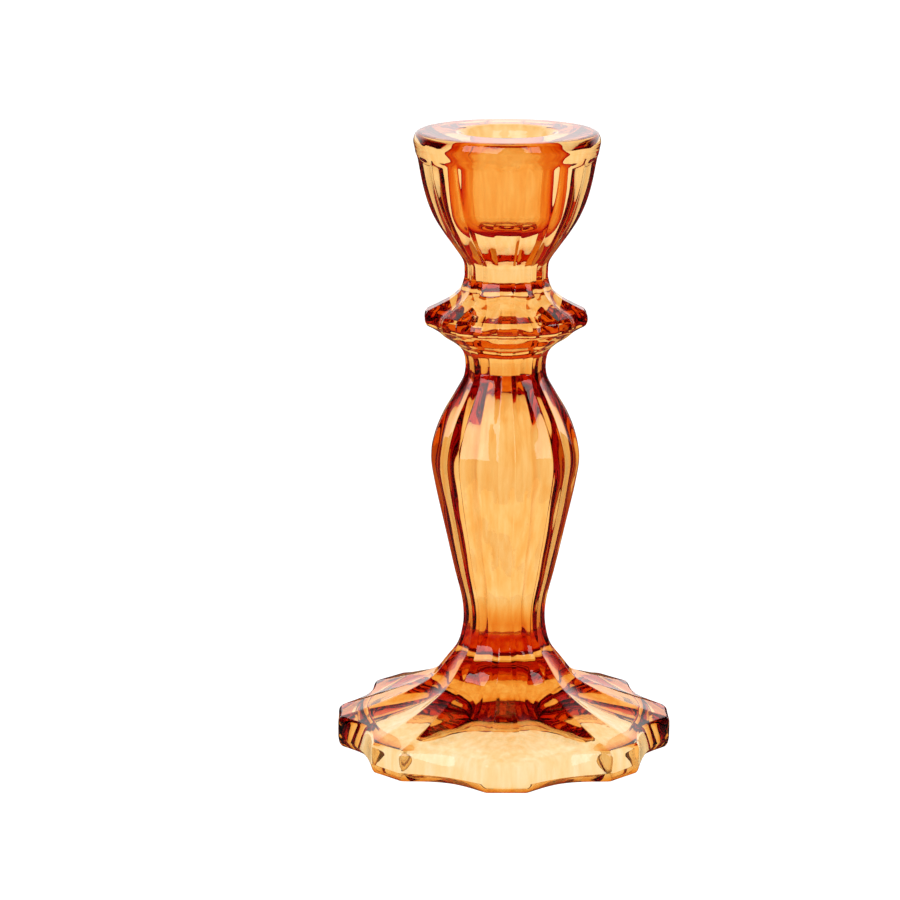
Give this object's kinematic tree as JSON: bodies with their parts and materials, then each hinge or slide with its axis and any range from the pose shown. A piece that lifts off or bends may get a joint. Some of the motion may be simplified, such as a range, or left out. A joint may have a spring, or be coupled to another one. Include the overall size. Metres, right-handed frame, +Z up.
{
  "type": "glass candlestick",
  "caption": "Coloured pressed-glass candlestick with a scalloped foot, a fluted baluster stem, a drip collar and a flared cup whose socket holds one dinner candle.",
  "frame": {"origin": "middle of the underside, at the height of the table", "axes": "+Z up along the candle's axis; -Y towards the viewer, through the middle of one lobe of the foot"},
  "size_m": [0.0914, 0.0914, 0.17],
  "materials": {
    "foot_glass": "fire-polished clear glass with an amber-orange stain",
    "stem_glass": "fire-polished clear glass with an amber-orange stain",
    "collar_glass": "fire-polished clear glass with an amber-orange stain",
    "cup_glass": "fire-polished clear glass with an amber-orange stain"
  },
  "bodies": {
    "root": {"foot": "foot_glass", "stem": "stem_glass", "collar": "collar_glass", "candle_cup": "cup_glass"}
  },
  "joints": []
}
